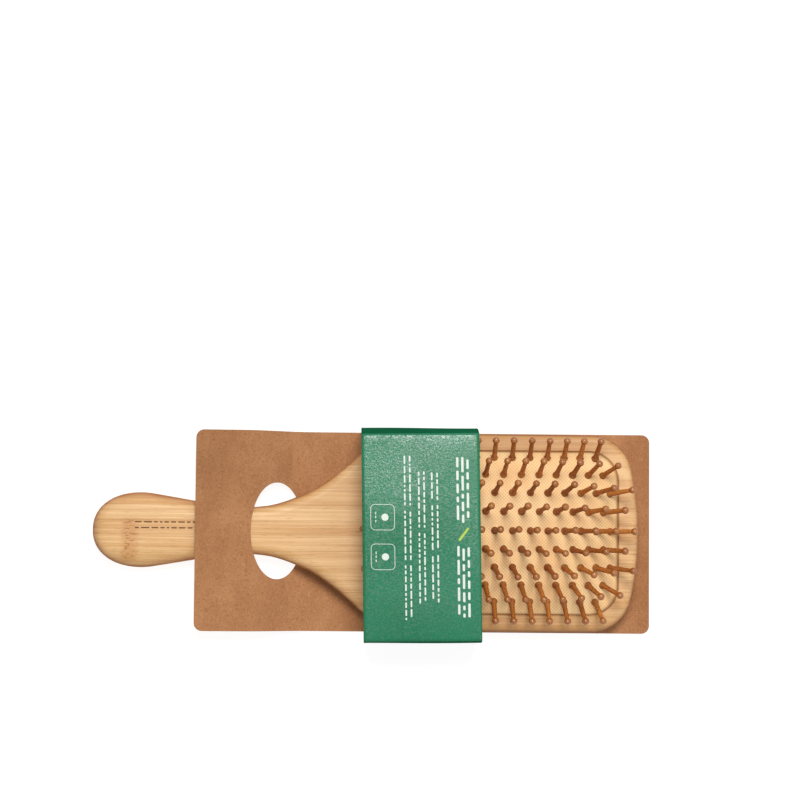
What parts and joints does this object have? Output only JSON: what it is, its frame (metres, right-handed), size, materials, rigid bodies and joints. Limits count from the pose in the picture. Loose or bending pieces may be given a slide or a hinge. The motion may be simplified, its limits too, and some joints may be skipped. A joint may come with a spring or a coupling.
{
  "type": "paddle hair brush",
  "caption": "Flat wooden paddle hair brush with a domed rubber cushion and ball-tipped wooden bristles, threaded on a backing card and held in a paper sleeve.",
  "frame": {"origin": "middle of the footprint, on the surface that the sleeve's back lies on", "axes": "+X from the handle to the head, +Z from the back of the brush to the bristles"},
  "size_m": [0.243, 0.0913, 0.0404],
  "materials": {
    "bamboo": "satin",
    "bamboo_bristles": "gloss",
    "rubber_cushion": "matte",
    "kraft_card": "matte",
    "green_paper": "satin"
  },
  "bodies": {
    "brush": {"handle_body": "bamboo", "backing_card": "kraft_card"},
    "sleeve": {"paper_sleeve": "green_paper"},
    "cushion": {"cushion_pad": "rubber_cushion"},
    "row_1": {"bristle_row_1": "bamboo_bristles"},
    "row_2": {"bristle_row_2": "bamboo_bristles"},
    "row_3": {"bristle_row_3": "bamboo_bristles"},
    "row_4": {"bristle_row_4": "bamboo_bristles"},
    "row_5": {"bristle_row_5": "bamboo_bristles"},
    "row_6": {"bristle_row_6": "bamboo_bristles"},
    "row_7": {"bristle_row_7": "bamboo_bristles"},
    "row_8": {"bristle_row_8": "bamboo_bristles"},
    "row_9": {"bristle_row_9": "bamboo_bristles"}
  },
  "joints": [
    {"name": "sleeve_slide", "type": "slide", "parent": "brush", "child": "sleeve", "axis": [1, 0, 0], "range_m": [-0.168, 0.126]},
    {"name": "cushion_press", "type": "slide", "parent": "brush", "child": "cushion", "axis": [0, 0, -1], "range_m": [0, 0.003], "stiffness_N_per_m": 5000, "deforming": ["cushion_pad"]},
    {"name": "row_1_lean", "type": "hinge", "parent": "cushion", "child": "row_1", "pos_m": [0.0526, 0.03226, 0.01491], "axis": [1, 0, 0], "range_deg": [-8, 8], "stiffness_Nm_per_rad": 0.3, "deforming": ["cushion_pad"]},
    {"name": "row_2_lean", "type": "hinge", "parent": "cushion", "child": "row_2", "pos_m": [0.0526, 0.0249, 0.01793], "axis": [1, 0, 0], "range_deg": [-8, 8], "stiffness_Nm_per_rad": 0.3, "deforming": ["cushion_pad"]},
    {"name": "row_3_lean", "type": "hinge", "parent": "cushion", "child": "row_3", "pos_m": [0.0526, 0.01711, 0.01995], "axis": [1, 0, 0], "range_deg": [-8, 8], "stiffness_Nm_per_rad": 0.3, "deforming": ["cushion_pad"]},
    {"name": "row_4_lean", "type": "hinge", "parent": "cushion", "child": "row_4", "pos_m": [0.0526, 0.00903, 0.02099], "axis": [1, 0, 0], "range_deg": [-8, 8], "stiffness_Nm_per_rad": 0.3, "deforming": ["cushion_pad"]},
    {"name": "row_5_lean", "type": "hinge", "parent": "cushion", "child": "row_5", "pos_m": [0.0526, 0.0008, 0.02125], "axis": [1, 0, 0], "range_deg": [-8, 8], "stiffness_Nm_per_rad": 0.3, "deforming": ["cushion_pad"]},
    {"name": "row_6_lean", "type": "hinge", "parent": "cushion", "child": "row_6", "pos_m": [0.0526, -0.00708, 0.02111], "axis": [1, 0, 0], "range_deg": [-8, 8], "stiffness_Nm_per_rad": 0.3, "deforming": ["cushion_pad"]},
    {"name": "row_7_lean", "type": "hinge", "parent": "cushion", "child": "row_7", "pos_m": [0.0526, -0.01483, 0.02034], "axis": [1, 0, 0], "range_deg": [-8, 8], "stiffness_Nm_per_rad": 0.3, "deforming": ["cushion_pad"]},
    {"name": "row_8_lean", "type": "hinge", "parent": "cushion", "child": "row_8", "pos_m": [0.0526, -0.02233, 0.01872], "axis": [1, 0, 0], "range_deg": [-8, 8], "stiffness_Nm_per_rad": 0.3, "deforming": ["cushion_pad"]},
    {"name": "row_9_lean", "type": "hinge", "parent": "cushion", "child": "row_9", "pos_m": [0.0526, -0.02945, 0.0162], "axis": [1, 0, 0], "range_deg": [-8, 8], "stiffness_Nm_per_rad": 0.3, "deforming": ["cushion_pad"]}
  ]
}
